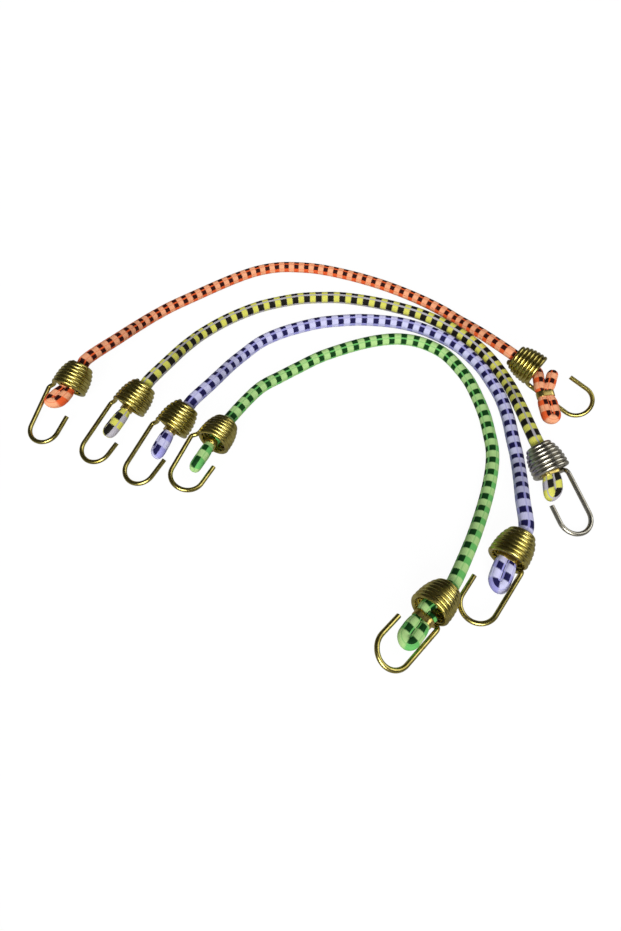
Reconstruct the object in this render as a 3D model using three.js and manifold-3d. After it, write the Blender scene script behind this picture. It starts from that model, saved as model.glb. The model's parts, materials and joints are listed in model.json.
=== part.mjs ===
// A set of four small bungee cords lying side by side in U-shaped curves.
// Each cord is a latex core in a woven sheath. Each end runs through the coil of a wire hook,
// folds back on itself and is held folded by a crimped metal band, so that the coil can't slip off.
// Millimetres, +Z up, the table is z = 0, +X to the right and +Y away from the viewer.

import * as THREE from 'three';
import { mergeVertices } from 'three/addons/utils/BufferGeometryUtils.js';
import Module from 'manifold-3d';

const wasm = await Module();
wasm.setup();

// Cord
const CORD_DIAMETER = 4.0;
const SHEATH_WALL = 0.45;
const CORE_CLEARANCE = 0.3;
const CORD_STEPS = 22;
const CORD_SIDES = 8;
const CORE_SIDES = 6;

// Folded end: two strands side by side, a little thinner where the band pulls them in
const FOLD_DIAMETER = 3.4;
const STRAND_GAP = 0.3;
const SEATED_STUMP = 2.2;
const OPEN_STUMP = 7.2;
const OPEN_SPREAD = 2.3;
const FOLD_DROOP = 1.4;
const BIGHT_STEPS = 6;
const LEAD_STEPS = 6;

// Crimped band round both strands
const BAND_WIDTH = 2.0;
const BAND_THICKNESS = 0.35;
const BAND_CLEARANCE = 0.25;
const BAND_END_STEPS = 5;

// Wire hook: a barrel-shaped coil, a shank, a round bend and a return tip
const WIRE_DIAMETER = 1.25;
const WIRE_SIDES = 5;
const COIL_TURNS = 6;
const COIL_GAP = 0.3;
const BARREL_FULLNESS = 3;
const COIL_STEPS = 10;
const NECK_CLEARANCE = 0.45;
const SWIVEL_CLEARANCE = 0.4;
const RIM_BEND_RADIUS = 2.0;
const RIM_BEND_STEPS = 3;
const HOOK_BEND_STEPS = 9;

// How the pieces lie
const PIECE_GAP = 0.3;
const FOLD_START = 8.4;
const FOLD_STRAIGHT = 0.6;
const LEAD_OUT = 1.0;
const STRAIGHT_OUT = 4.5;
const REST_FLAT = 0.5;

// Corners closer than this are one corner
const CORNER_TOLERANCE = 1e-4;

// Sizes that follow from those above
const cordRadius = CORD_DIAMETER / 2;
const boreRadius = cordRadius - SHEATH_WALL;
const coreRadius = boreRadius - CORE_CLEARANCE / Math.cos(Math.PI / CORE_SIDES);
const foldRadius = FOLD_DIAMETER / 2;
const strandOffset = foldRadius * Math.cos(Math.PI / CORD_SIDES) + STRAND_GAP / 2;
const wireRadius = WIRE_DIAMETER / 2;
const bandInnerRadius = foldRadius + BAND_CLEARANCE;
const bandOuterRadius = bandInnerRadius + BAND_THICKNESS;
const neckRadius = cordRadius + NECK_CLEARANCE + wireRadius;
const mouthRadius = strandOffset + bandOuterRadius + SWIVEL_CLEARANCE + wireRadius;
const coilPitch = WIRE_DIAMETER + COIL_GAP;
const coilLength = COIL_TURNS * coilPitch;
const lyingHeight = cordRadius * Math.cos(Math.PI / CORD_SIDES);

// Where each coil's mouth is, which way it points, and how far the hook is rolled round its axis.
// A coil without a tilt of its own lies with its mouth and the hook's bend on the table.
// A fold tells how far out of the mouth the middle of its band and the end of its bight are.
const CORDS = {
  orange: {
    colour: 0xf26a35,
    left: {
      mouth: [-83.2, 38.8], heading: -113, roll: 180, reach: 20.7, tip: 6.3, shoulder: 1.8,
      fold: { band: -0.9, end: 6.5 },
    },
    right: {
      mouth: [77.5, 46.2], heading: -43, tilt: 8, roll: 215, reach: 21.5, tip: 6.6,
      open: { band: [78.4, 35.8, 5.2], heading: -83, tilt: 14 },
      fold: { band: 0, end: 8.8, droop: 0.9 },
    },
    route: [
      [-69.5, 62.2, 6.0], [-64.6, 71.5, 3.3], [-58.6, 79.2], [-44.4, 90.1], [-29.3, 100.3],
      [-21.3, 104.2], [-13.3, 106.1], [-5.1, 106.0], [3.1, 104.8], [19.1, 99.4], [34.4, 91.6],
      [48.8, 81.3], [55.2, 74.5, 2.5], [61.1, 65.4, 5.1],
    ],
  },
  yellow: {
    colour: 0xe0d94a,
    left: {
      mouth: [-61.4, 30.7], heading: -123, roll: 180, reach: 21.9, tip: 4.6, shoulder: 1.3,
      fold: { band: 0.6, end: 10.1, turn: 45, droop: 0.2 },
    },
    right: {
      mouth: [73.6, 4.9], heading: -70, roll: 0, reach: 20.0, tip: 5.6,
      fold: { band: -0.5, end: 6.2 },
    },
    route: [
      [-49.5, 50.2, 6.9], [-47.1, 56.3, 5.2], [-44.6, 61.8, 3.6], [-41.7, 66.8, 2.4], [-34.8, 73.4],
      [-27.6, 78.5], [-20.1, 82.6], [-12.6, 85.2], [-4.8, 87.1], [2.9, 87.7], [10.8, 87.6],
      [18.5, 86.3], [26.2, 84.3], [33.7, 81.6], [41.1, 78.3], [48.2, 73.7], [54.8, 67.9],
      [60.8, 60.7], [66.0, 49.9], [67.8, 41.5, 3.4], [68.2, 30.3, 6.4],
    ],
  },
  purple: {
    colour: 0xb3aef0,
    left: {
      mouth: [-46.1, 21.8], heading: -124, roll: 180, reach: 21.2, tip: 6.5, shoulder: 1.5,
      fold: { band: 0.4, end: 8.9, turn: 45, droop: 0.4 },
    },
    right: {
      mouth: [54.1, -24.2], heading: -127, tilt: 9, roll: 0, reach: 20.2, tip: 6.4,
      fold: { band: -1.1, end: 7.0 },
    },
    route: [
      [-34.3, 39.4, 7.0], [-31.7, 45.0, 5.4], [-29.0, 50.8, 3.7], [-25.9, 56.0, 2.4], [-19.2, 63.5],
      [-12.1, 68.1], [-4.7, 71.3], [2.9, 73.7], [10.4, 74.8], [18.0, 75.3], [25.5, 74.8],
      [33.0, 73.5], [40.2, 70.8], [47.3, 66.5], [53.7, 60.7], [59.6, 51.8], [62.1, 45.4],
      [64.4, 37.2], [65.3, 28.7], [65.2, 19.7], [65.1, 11.5, 2.2], [63.7, 3.0, 4.3],
      [62.0, -5.3, 6.6],
    ],
  },
  green: {
    colour: 0x6fcf6f,
    left: {
      mouth: [-32.2, 16.3], heading: -116, tilt: -3, roll: 165, reach: 19.3, tip: 7.0, shoulder: 1.5,
      fold: { band: 0.8, end: 9.9, turn: 70, droop: 0.7 },
    },
    right: {
      mouth: [30.5, -39.0], heading: -134, tilt: -8, roll: -25, reach: 19.7, tip: 6.9,
      fold: { band: 2.6, end: 10.4 },
    },
    route: [
      [-18.2, 40.2, 3.6], [-11.6, 46.2, 2.5], [-4.6, 51.4], [2.7, 56.2], [10.1, 59.7], [17.5, 62.6],
      [24.9, 64.6], [32.3, 65.2], [39.4, 63.6], [46.2, 59.3], [49.2, 55.8], [52.0, 50.9],
      [54.6, 44.9], [56.3, 37.9], [57.6, 29.7], [57.9, 21.6], [57.8, 15.6], [56.8, 9.8],
      [54.6, 2.4], [51.8, -4.9, 2.1], [48.5, -12.2, 2.9], [45.1, -19.0, 3.5],
    ],
  },
};

const brassWire = { color: 0x9a8d45, roughness: 0.3, metalness: 1.0 };
const brassBand = { color: 0xb09d4e, roughness: 0.4, metalness: 1.0 };
const latex = { color: 0xd8c9a4, roughness: 0.8, metalness: 0.0 };

// A path through given points, on which a section keeps one given direction upright
class Run extends THREE.Curve {
  constructor(points, upright) {
    super();
    this.points = points;
    this.upright = upright;
  }

  getSpacedPoints() {
    return this.points;
  }

  computeFrenetFrames() {
    const { points, upright } = this;
    const last = points.length - 1;
    const tangents = points.map((point, index) => {
      const from = points[Math.max(index - 1, 0)];
      const to = points[Math.min(index + 1, last)];
      return to.clone().sub(from).normalize();
    });
    const normals = tangents.map((tangent, index) => (
      upright[index].clone().addScaledVector(tangent, -tangent.dot(upright[index])).normalize()));
    const binormals = tangents.map((tangent, index) => tangent.clone().cross(normals[index]));
    return { tangents, normals, binormals };
  }
}

// A regular polygon with a flat side towards its own x axis
function polygon(radius, sides, kind = THREE.Shape) {
  const corners = [];
  for (let corner = 0; corner < sides; corner += 1) {
    const angle = ((2 * corner + 1) * Math.PI) / sides;
    corners.push(new THREE.Vector2(radius * Math.cos(angle), radius * Math.sin(angle)));
  }
  return new kind(corners);
}

function sweep(section, points, upright) {
  const extrudePath = new Run(points, upright);
  return new THREE.ExtrudeGeometry(section, { steps: points.length - 1, extrudePath });
}

function named(name, geometry, look) {
  const mesh = new THREE.Mesh(geometry, new THREE.MeshStandardMaterial(look));
  mesh.name = name;
  return mesh;
}

// The centreline of the wire, with the coil's axis along +z, its mouth at z = 0 and the shank at +x,
// and at each point the direction towards the inside of the bend. The shank starts outside the mouth
// by the shoulder.
function wireLine({ reach, tip, shoulder = 0 }) {
  const points = [];
  const inward = [];
  const rimAngle = -RIM_BEND_RADIUS / mouthRadius;
  const steps = COIL_TURNS * COIL_STEPS;
  for (let step = 0; step <= steps; step += 1) {
    const part = step / steps;
    const radius = mouthRadius - (mouthRadius - neckRadius) * (1 - part) ** BARREL_FULLNESS;
    const angle = rimAngle - 2 * Math.PI * COIL_TURNS * (1 - part);
    const across = new THREE.Vector3(Math.cos(angle), Math.sin(angle), 0);
    points.push(across.clone().multiplyScalar(radius).setZ(-coilLength * (1 - part)));
    inward.push(across.clone().negate());
  }
  const tail = points[0].clone().sub(points[1]).setLength(WIRE_DIAMETER);
  points.unshift(points[0].clone().add(tail));
  inward.unshift(inward[0].clone());

  for (let step = 1; step <= RIM_BEND_STEPS; step += 1) {
    const turn = (step / RIM_BEND_STEPS) * (Math.PI / 2);
    const angle = rimAngle * (1 - Math.sin(turn));
    const height = RIM_BEND_RADIUS * (1 - Math.cos(turn));
    const radius = mouthRadius + shoulder * (1 - Math.cos(turn));
    const across = new THREE.Vector3(Math.cos(angle), Math.sin(angle), 0);
    points.push(across.clone().multiplyScalar(radius).setZ(height));
    inward.push(across.clone().negate());
  }

  const bendCentre = reach - mouthRadius;
  for (let step = 0; step <= HOOK_BEND_STEPS; step += 1) {
    const turn = (step / HOOK_BEND_STEPS) * Math.PI;
    const out = new THREE.Vector3(Math.cos(turn), 0, Math.sin(turn));
    points.push(out.clone().multiplyScalar(mouthRadius).add(new THREE.Vector3(0, 0, bendCentre)));
    inward.push(out.clone().negate());
  }
  points.push(new THREE.Vector3(-mouthRadius, 0, bendCentre - tip));
  inward.push(new THREE.Vector3(1, 0, 0));
  return { points, inward };
}

// The least clear distance between stretches of a run that aren't next to each other
function leastGap(points, diameter, apart) {
  let least = Infinity;
  for (let first = 0; first < points.length; first += 1) {
    for (let second = first + apart; second < points.length; second += 1) {
      least = Math.min(least, points[first].distanceTo(points[second]));
    }
  }
  return least - diameter;
}

function closedSolid(geometry) {
  const bare = geometry.clone();
  bare.deleteAttribute('normal');
  bare.deleteAttribute('uv');
  const merged = mergeVertices(bare, CORNER_TOLERANCE);
  return new wasm.Manifold(new wasm.Mesh({
    numProp: 3,
    vertProperties: new Float32Array(merged.attributes.position.array),
    triVerts: new Uint32Array(merged.index.array),
  }));
}

function fromSolid(solid) {
  const mesh = solid.getMesh();
  const geometry = new THREE.BufferGeometry();
  geometry.setAttribute('position', new THREE.BufferAttribute(mesh.vertProperties, 3));
  geometry.setIndex(new THREE.BufferAttribute(mesh.triVerts, 1));
  geometry.computeVertexNormals();
  return geometry;
}

// A turned frame: z along the heading and down by the tilt, x level to its left, y upwards
function turned(heading, tilt) {
  const angle = THREE.MathUtils.degToRad(heading);
  const drop = THREE.MathUtils.degToRad(tilt);
  const along = new THREE.Vector3(
    Math.cos(angle) * Math.cos(drop), Math.sin(angle) * Math.cos(drop), -Math.sin(drop));
  const left = new THREE.Vector3(-Math.sin(angle), Math.cos(angle), 0);
  const up = along.clone().cross(left);
  return new THREE.Matrix4().makeBasis(left, up, along);
}

function rolled(frame, degrees) {
  const turn = new THREE.Matrix4().makeRotationZ(THREE.MathUtils.degToRad(degrees));
  return frame.clone().multiply(turn);
}

// The tilt at which the coil's mouth and the hook's bend both touch the table
function restTilt(reach) {
  const rim = mouthRadius + wireRadius;
  return THREE.MathUtils.radToDeg(
    Math.acos(wireRadius / Math.hypot(rim, reach)) - Math.atan2(reach, rim));
}

// The hook's solid, cut flat where it stands on the table, and the frame of its coil's mouth
function hookOn({ mouth, heading, roll, reach, tip, shoulder, tilt = restTilt(reach) }) {
  const wire = wireLine({ reach, tip, shoulder });
  const frame = turned(heading, tilt);
  const hookFrame = rolled(frame, roll);
  const tableUp = new THREE.Vector3(0, 0, 1).applyMatrix4(hookFrame.clone().transpose());
  const lowest = Math.min(...wire.points.map((point) => point.dot(tableUp))) - wireRadius;
  const height = -lowest - REST_FLAT;
  const tube = sweep(polygon(wireRadius, WIRE_SIDES), wire.points, wire.inward);
  const solid = closedSolid(tube).trimByPlane(tableUp.toArray(), -height);
  frame.setPosition(mouth[0], mouth[1], height);
  hookFrame.setPosition(mouth[0], mouth[1], height);
  return { geometry: fromSolid(solid), frame, hookFrame };
}

// The folded end in its own frame: +z outwards, the strands side by side along x, the bight drooping
function foldLine(lead, { band, end, turn = 0, droop = FOLD_DROOP }, isOpen) {
  const bend = end - strandOffset;
  const middle = (band + bend) / 2;
  const points = [...lead, new THREE.Vector3(-strandOffset, 0, middle)];
  for (let step = 0; step <= BIGHT_STEPS; step += 1) {
    const angle = (step / BIGHT_STEPS) * Math.PI;
    points.push(new THREE.Vector3(
      -strandOffset * Math.cos(angle), 0, bend + strandOffset * Math.sin(angle)));
  }
  points.push(new THREE.Vector3(strandOffset, 0, middle));
  if (isOpen) {
    points.push(new THREE.Vector3(strandOffset, 0, band - BAND_WIDTH));
    points.push(new THREE.Vector3(strandOffset + OPEN_SPREAD, 0, band - OPEN_STUMP));
  } else {
    points.push(new THREE.Vector3(strandOffset, 0, band - SEATED_STUMP));
  }
  const angle = THREE.MathUtils.degToRad(turn);
  const down = new THREE.Vector3(-Math.sin(angle), -Math.cos(angle), 0);
  return points.map((point) => (
    point.addScaledVector(down, droop * (Math.max(point.z, 0) / end) ** 2)));
}

// From the middle of the coil the strand eases sideways to make room for the stump
function seatedLead({ band }) {
  const points = [new THREE.Vector3(0, 0, -FOLD_START)];
  const easeStart = FOLD_STRAIGHT - FOLD_START;
  const easeEnd = band - SEATED_STUMP - STRAND_GAP;
  for (let step = 0; step <= LEAD_STEPS; step += 1) {
    const part = step / LEAD_STEPS;
    const ease = part * part * (3 - 2 * part);
    const along = easeStart + (easeEnd - easeStart) * part;
    points.push(new THREE.Vector3(-strandOffset * ease, 0, along));
  }
  points.push(new THREE.Vector3(-strandOffset, 0, band));
  return points;
}

// Where the coil has slid up the cord, the strand comes straight out of the mouth to the band
function openLead(frame, foldFrame, { band }) {
  const onAxis = (along) => new THREE.Vector3(0, 0, along).applyMatrix4(frame);
  const atBand = (along) => new THREE.Vector3(-strandOffset, 0, along).applyMatrix4(foldFrame);
  const curve = new THREE.CatmullRomCurve3([
    onAxis(-FOLD_START), onAxis(-FOLD_START / 2), onAxis(0), atBand(band - BAND_WIDTH), atBand(band),
  ]);
  const toFold = foldFrame.clone().invert();
  return curve.getSpacedPoints(2 * LEAD_STEPS).map((point) => point.applyMatrix4(toFold));
}

function stadium(halfWidth, radius, kind) {
  const outline = new kind();
  outline.absarc(halfWidth, 0, radius, -Math.PI / 2, Math.PI / 2, false);
  outline.absarc(-halfWidth, 0, radius, Math.PI / 2, Math.PI * 1.5, false);
  outline.closePath();
  return outline;
}

function bandGeometry({ band }) {
  const outline = stadium(strandOffset, bandOuterRadius, THREE.Shape);
  outline.holes.push(stadium(strandOffset, bandInnerRadius, THREE.Path));
  const geometry = new THREE.ExtrudeGeometry(
    outline, { depth: BAND_WIDTH, curveSegments: BAND_END_STEPS, bevelEnabled: false });
  return geometry.translate(0, 0, band - BAND_WIDTH / 2);
}

function setPlace(mesh, matrix) {
  matrix.decompose(mesh.position, mesh.quaternion, mesh.scale);
  return mesh;
}

// One end: its wire hook, its folded cord end and its band
function buildEnd(name, end, colour) {
  const { geometry, frame, hookFrame } = hookOn(end);
  const foldFrame = end.open
    ? turned(end.open.heading, end.open.tilt).setPosition(...end.open.band)
    : rolled(frame, end.fold.turn ?? 0);
  const lead = end.open ? openLead(frame, foldFrame, end.fold) : seatedLead(end.fold);
  const line = foldLine(lead, end.fold, Boolean(end.open));
  const upright = line.map(() => new THREE.Vector3(0, 1, 0));
  const group = new THREE.Group();
  group.add(setPlace(named(`${name}_hook`, geometry, brassWire), hookFrame));
  group.add(setPlace(named(`${name}_fold`, sweep(polygon(foldRadius, CORD_SIDES), line, upright),
    { color: colour, roughness: 0.8, metalness: 0.0 }), foldFrame));
  group.add(setPlace(named(`${name}_band`, bandGeometry(end.fold), brassBand), foldFrame));
  return { group, frame, line };
}

// The free stretch runs out of one coil's neck, lies on the table and goes into the other coil's neck
function freeRun(route, leftFrame, rightFrame) {
  const behind = (frame, along) => new THREE.Vector3(0, 0, -along).applyMatrix4(frame);
  const start = FOLD_START + PIECE_GAP;
  const lead = coilLength + LEAD_OUT;
  const straight = coilLength + STRAIGHT_OUT;
  const lying = route.map(([x, y, z = lyingHeight]) => new THREE.Vector3(x, y, z));
  const curve = new THREE.CatmullRomCurve3([
    behind(leftFrame, lead), behind(leftFrame, straight), ...lying,
    behind(rightFrame, straight), behind(rightFrame, lead),
  ]);
  const resting = curve.getSpacedPoints(CORD_STEPS).map((point) => (
    point.setZ(Math.max(point.z, lyingHeight))));
  return [behind(leftFrame, start), ...resting, behind(rightFrame, start)];
}

function lengthOf(points) {
  return points.slice(1).reduce((sum, point, index) => sum + point.distanceTo(points[index]), 0);
}

function buildCord(name, cord) {
  const left = buildEnd(`${name}_left`, cord.left, cord.colour);
  const right = buildEnd(`${name}_right`, cord.right, cord.colour);
  const points = freeRun(cord.route, left.frame, right.frame);
  const upright = points.map(() => new THREE.Vector3(0, 0, 1));
  const tube = polygon(cordRadius, CORD_SIDES);
  tube.holes.push(polygon(boreRadius, CORE_SIDES, THREE.Path));
  const group = new THREE.Group();
  group.add(named(`${name}_sheath`, sweep(tube, points, upright),
    { color: cord.colour, roughness: 0.8, metalness: 0.0 }));
  group.add(named(`${name}_core`, sweep(polygon(coreRadius, CORE_SIDES), points, upright), latex));
  group.add(left.group, right.group);
  const free = lengthOf(points);
  const total = free + lengthOf(left.line) + lengthOf(right.line);
  console.log(`${name} cord: ${free.toFixed(1)} mm free, ${total.toFixed(1)} mm with its folds`);
  return group;
}

const bungeeCordSet = new THREE.Group();
for (const [name, cord] of Object.entries(CORDS)) {
  bungeeCordSet.add(buildCord(name, cord));
}
const wireGap = leastGap(wireLine(CORDS.orange.left).points, WIRE_DIAMETER, COIL_STEPS / 2);
console.log(`least gap between the coil's turns: ${wireGap.toFixed(2)} mm`);

export default bungeeCordSet;
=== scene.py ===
"""Looks of a set of four small bungee cords with coiled wire hooks.

Each cord is a latex core in a patterned braid. Each of its ends runs through the coil of a wire hook,
folds back on itself and is held folded by a crimped band. All sizes are in metres, in the frame of the
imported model: +Z up, the table at z = 0.

The scene repeats the routes of the cords and the plans of their ends, and takes the places of the hooks
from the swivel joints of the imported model.
"""

from __future__ import annotations

import json
import logging
import math
from collections.abc import Callable
from dataclasses import dataclass, field
from enum import Enum
from typing import Any, Optional

import bpy
import numpy as np
from mathutils import Matrix, Vector
from mathutils.kdtree import KDTree

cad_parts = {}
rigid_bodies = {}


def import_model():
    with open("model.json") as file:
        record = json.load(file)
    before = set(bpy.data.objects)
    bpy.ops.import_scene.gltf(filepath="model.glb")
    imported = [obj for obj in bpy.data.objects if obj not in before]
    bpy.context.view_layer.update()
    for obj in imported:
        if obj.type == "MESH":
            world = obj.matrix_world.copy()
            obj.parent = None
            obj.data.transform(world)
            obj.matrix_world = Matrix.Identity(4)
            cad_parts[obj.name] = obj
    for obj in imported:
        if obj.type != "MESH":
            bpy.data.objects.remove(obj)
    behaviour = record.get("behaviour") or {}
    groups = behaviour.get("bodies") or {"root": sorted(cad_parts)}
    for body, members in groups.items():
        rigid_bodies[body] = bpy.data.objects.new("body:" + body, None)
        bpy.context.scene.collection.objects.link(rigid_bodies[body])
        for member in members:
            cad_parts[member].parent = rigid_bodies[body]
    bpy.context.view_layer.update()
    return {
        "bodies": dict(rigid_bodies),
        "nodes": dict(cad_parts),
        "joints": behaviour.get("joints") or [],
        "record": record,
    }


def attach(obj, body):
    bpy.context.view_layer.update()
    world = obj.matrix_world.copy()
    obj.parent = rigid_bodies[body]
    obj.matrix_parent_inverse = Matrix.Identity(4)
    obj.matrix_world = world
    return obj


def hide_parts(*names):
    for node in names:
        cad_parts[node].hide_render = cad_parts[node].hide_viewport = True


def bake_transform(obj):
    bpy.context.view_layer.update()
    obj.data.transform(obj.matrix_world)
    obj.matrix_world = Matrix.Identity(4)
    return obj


LOG = logging.getLogger("bungee_cord_set")
UV_NAME = "weave"
UPWARDS = np.array([0.0, 0.0, 1.0])
TINY = 1e-9
Point = tuple[float, float, float]
ScreenColour = tuple[int, int, int]


class Tint(Enum):
    """The four cords of the set, named by their colour."""

    ORANGE = "orange"
    YELLOW = "yellow"
    PURPLE = "purple"
    GREEN = "green"


class Side(Enum):
    """The two ends of a cord."""

    LEFT = "left"
    RIGHT = "right"


def linear(red: int, green: int, blue: int) -> tuple[float, float, float, float]:
    """Gives a colour that is written as 0 to 255 on screen as the linear colour that shaders use.

    Args:
        red: The red part on screen, 0 to 255.
        green: The green part.
        blue: The blue part.

    Returns:
        The linear colour, with full alpha.
    """
    shares = [value / 255 for value in (red, green, blue)]
    parts = [share / 12.92 if share <= 0.04045 else ((share + 0.055) / 1.055) ** 2.4 for share in shares]
    return parts[0], parts[1], parts[2], 1.0


def evenly_spaced(line: np.ndarray, spacing: float) -> np.ndarray:
    """Places points along a line at even distances.

    Args:
        line: The points of the line, one per row.
        spacing: The distance wanted between points.

    Returns:
        The new points, from the line's first point to its last.
    """
    along = lengths_along(line)
    count = max(2, math.ceil(along[-1] / spacing) + 1)
    places = np.linspace(0.0, along[-1], count)
    return np.stack([np.interp(places, along, line[:, axis]) for axis in range(3)], axis=1)


def lengths_along(line: np.ndarray) -> np.ndarray:
    """Gives the distance of each point of a line from its start, along the line."""
    steps = np.linalg.norm(np.diff(line, axis=0), axis=1)
    return np.concatenate([[0.0], np.cumsum(steps)])


def smooth_through(controls: np.ndarray, spacing: float) -> np.ndarray:
    """Draws a centripetal Catmull-Rom curve through chosen points.

    Args:
        controls: The points that the curve passes through, one per row.
        spacing: The distance wanted between the points of the result.

    Returns:
        Evenly spaced points on the curve.
    """
    before = 2 * controls[0] - controls[1]
    after = 2 * controls[-1] - controls[-2]
    points = np.vstack([before, controls, after])
    stretches = []
    for first, second, third, fourth in zip(points, points[1:], points[2:], points[3:]):
        knot_1 = np.linalg.norm(second - first) ** 0.5
        knot_2 = knot_1 + np.linalg.norm(third - second) ** 0.5
        knot_3 = knot_2 + np.linalg.norm(fourth - third) ** 0.5
        count = max(6, math.ceil(2 * np.linalg.norm(third - second) / spacing))
        place = np.linspace(knot_1, knot_2, count, endpoint=False)[:, None]
        near = (knot_1 - place) / knot_1 * first + place / knot_1 * second
        middle = between(place, knot_1, knot_2, second, third)
        far = between(place, knot_2, knot_3, third, fourth)
        early = between(place, 0.0, knot_2, near, middle)
        late = between(place, knot_1, knot_3, middle, far)
        stretches.append(between(place, knot_1, knot_2, early, late))
    stretches.append(controls[-1:])
    return evenly_spaced(np.vstack(stretches), spacing)


def between(place: np.ndarray, start: float, end: float, first: np.ndarray,
            second: np.ndarray) -> np.ndarray:
    """Mixes two points by where a place lies between a start and an end."""
    return (end - place) / (end - start) * first + (place - start) / (end - start) * second


def ring_directions(line: np.ndarray, upright: np.ndarray, angle: np.ndarray) -> np.ndarray:
    """Finds the directions from a tube's middle line to the points of its rings.

    Args:
        line: The points of the line.
        upright: The direction that the top of each ring keeps as nearly as it can.
        angle: The angles of the points round a ring, counted from its top.

    Returns:
        The directions, by ring, by place round the ring, by axis.
    """
    tangent = np.gradient(line, axis=0)
    tangent /= np.linalg.norm(tangent, axis=1)[:, None]
    top = upright - (tangent @ upright)[:, None] * tangent
    top /= np.linalg.norm(top, axis=1)[:, None]
    side = np.cross(tangent, top)
    return np.cos(angle)[None, :, None] * top[:, None] + np.sin(angle)[None, :, None] * side[:, None]


def smooth_step(value: np.ndarray) -> np.ndarray:
    """Eases a value from 0 to 1."""
    inside = np.clip(value, 0.0, 1.0)
    return inside * inside * (3 - 2 * inside)


def deselect_all() -> None:
    """Deselects every object, so that the next operator acts on nothing old."""
    if bpy.context.object is not None and bpy.context.object.mode != "OBJECT":
        bpy.ops.object.mode_set(mode="OBJECT")
    bpy.ops.object.select_all(action="DESELECT")


def apply_modifiers(piece: bpy.types.Object) -> None:
    """Applies all modifiers of a piece in their order.

    Args:
        piece: The piece to finish.
    """
    bpy.context.view_layer.objects.active = piece
    for name in [modifier.name for modifier in piece.modifiers]:
        bpy.ops.object.modifier_apply(modifier=name)


def ring_mesh(name: str, rings: np.ndarray, places: np.ndarray, is_loop: bool) -> bpy.types.Object:
    """Makes a closed tube from rings of points, with its own UV map.

    Args:
        name: The name of the new object.
        rings: The points, by ring, by place round the ring, by axis.
        places: The UV of each point and of the first point again at the end of each ring.
        is_loop: True where the last ring joins the first, False where both ends are capped.

    Returns:
        The new object, at the origin.
    """
    count, sides = rings.shape[:2]
    ring_pairs = [(ring, (ring + 1) % count) for ring in range(count if is_loop else count - 1)]
    faces = []
    corners = []
    for here, there in ring_pairs:
        for side in range(sides):
            beside = (side + 1) % sides
            faces.append((here * sides + side, here * sides + beside,
                          there * sides + beside, there * sides + side))
            corners += [places[here, side], places[here, side + 1],
                        places[there, side + 1], places[there, side]]
    if not is_loop:
        faces.append(tuple(range(sides - 1, -1, -1)))
        corners += [places[0, side] for side in range(sides - 1, -1, -1)]
        faces.append(tuple((count - 1) * sides + side for side in range(sides)))
        corners += [places[-1, side] for side in range(sides)]
    mesh = bpy.data.meshes.new(name)
    mesh.from_pydata(rings.reshape(-1, 3).tolist(), [], faces)
    mesh.uv_layers.new(name=UV_NAME).data.foreach_set("uv", np.asarray(corners, np.float32).ravel())
    mesh.polygons.foreach_set("use_smooth", [True] * len(mesh.polygons))
    mesh.update()
    piece = bpy.data.objects.new(name, mesh)
    bpy.context.scene.collection.objects.link(piece)
    return piece


class NodeBench:
    """Adds and links the nodes of one shader tree."""

    def __init__(self, tree: bpy.types.NodeTree) -> None:
        """Starts with an empty tree."""
        self.tree = tree
        tree.nodes.clear()

    def add(self, kind: str, settings: Optional[dict[str, Any]] = None, **inputs: Any) -> bpy.types.Node:
        """Adds a node.

        Args:
            kind: The node's type name.
            settings: Properties to set on the node.
            inputs: Values or sockets for its inputs, by name, with _ for a space.

        Returns:
            The new node.
        """
        node = self.tree.nodes.new(kind)
        for key, value in (settings or {}).items():
            setattr(node, key, value)
        for key, value in inputs.items():
            self.feed(node.inputs[key.replace("_", " ")], value)
        return node

    def feed(self, socket: bpy.types.NodeSocket, value: Any) -> None:
        """Links a socket to an input, or sets the input's own value.

        Args:
            socket: The input.
            value: A socket to link to it, or a plain value.
        """
        if isinstance(value, bpy.types.NodeSocket):
            self.tree.links.new(value, socket)
        else:
            socket.default_value = value

    def math(self, operation: str, *values: Any) -> bpy.types.NodeSocket:
        """Adds a Math node on one, two or three values.

        Args:
            operation: The node's operation.
            values: Plain values or sockets.

        Returns:
            The result.
        """
        node = self.tree.nodes.new("ShaderNodeMath")
        node.operation = operation
        for socket, value in zip(node.inputs, values):
            self.feed(socket, value)
        return node.outputs[0]

    def fade(self, value: Any, start: float, end: float, low: float, high: float) -> bpy.types.NodeSocket:
        """Maps a value smoothly from start and end to low and high.

        Args:
            value: The value or socket to map.
            start: Where the result begins to change.
            end: Where the result stops changing.
            low: The result up to the start.
            high: The result from the end on.

        Returns:
            The result.
        """
        node = self.add("ShaderNodeMapRange", {"interpolation_type": "SMOOTHSTEP"})
        for socket, given in zip(node.inputs, (value, start, end, low, high)):
            self.feed(socket, given)
        return node.outputs[0]

    def mix(self, share: Any, first: Any, second: Any, blend: str = "MIX") -> bpy.types.NodeSocket:
        """Mixes two colours by a share.

        Args:
            share: The share of the second colour.
            first: The first colour or socket.
            second: The second colour or socket.
            blend: How the second colour goes on the first.

        Returns:
            The mixed colour.
        """
        node = self.add("ShaderNodeMix", {"data_type": "RGBA", "blend_type": blend})
        self.feed(node.inputs[0], share)
        self.feed(node.inputs[6], first)
        self.feed(node.inputs[7], second)
        return node.outputs[2]

    def noise(self, place: Any, scale: float, detail: float = 2.0) -> bpy.types.NodeSocket:
        """Adds a noise texture at a place and gives its value."""
        return self.add("ShaderNodeTexNoise", Vector=place, Scale=scale, Detail=detail).outputs[0]

    def stretched(self, place: Any, scale: Point) -> bpy.types.NodeSocket:
        """Scales a place by axis and gives the result."""
        return self.add("ShaderNodeMapping", Vector=place, Scale=scale).outputs[0]


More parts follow.
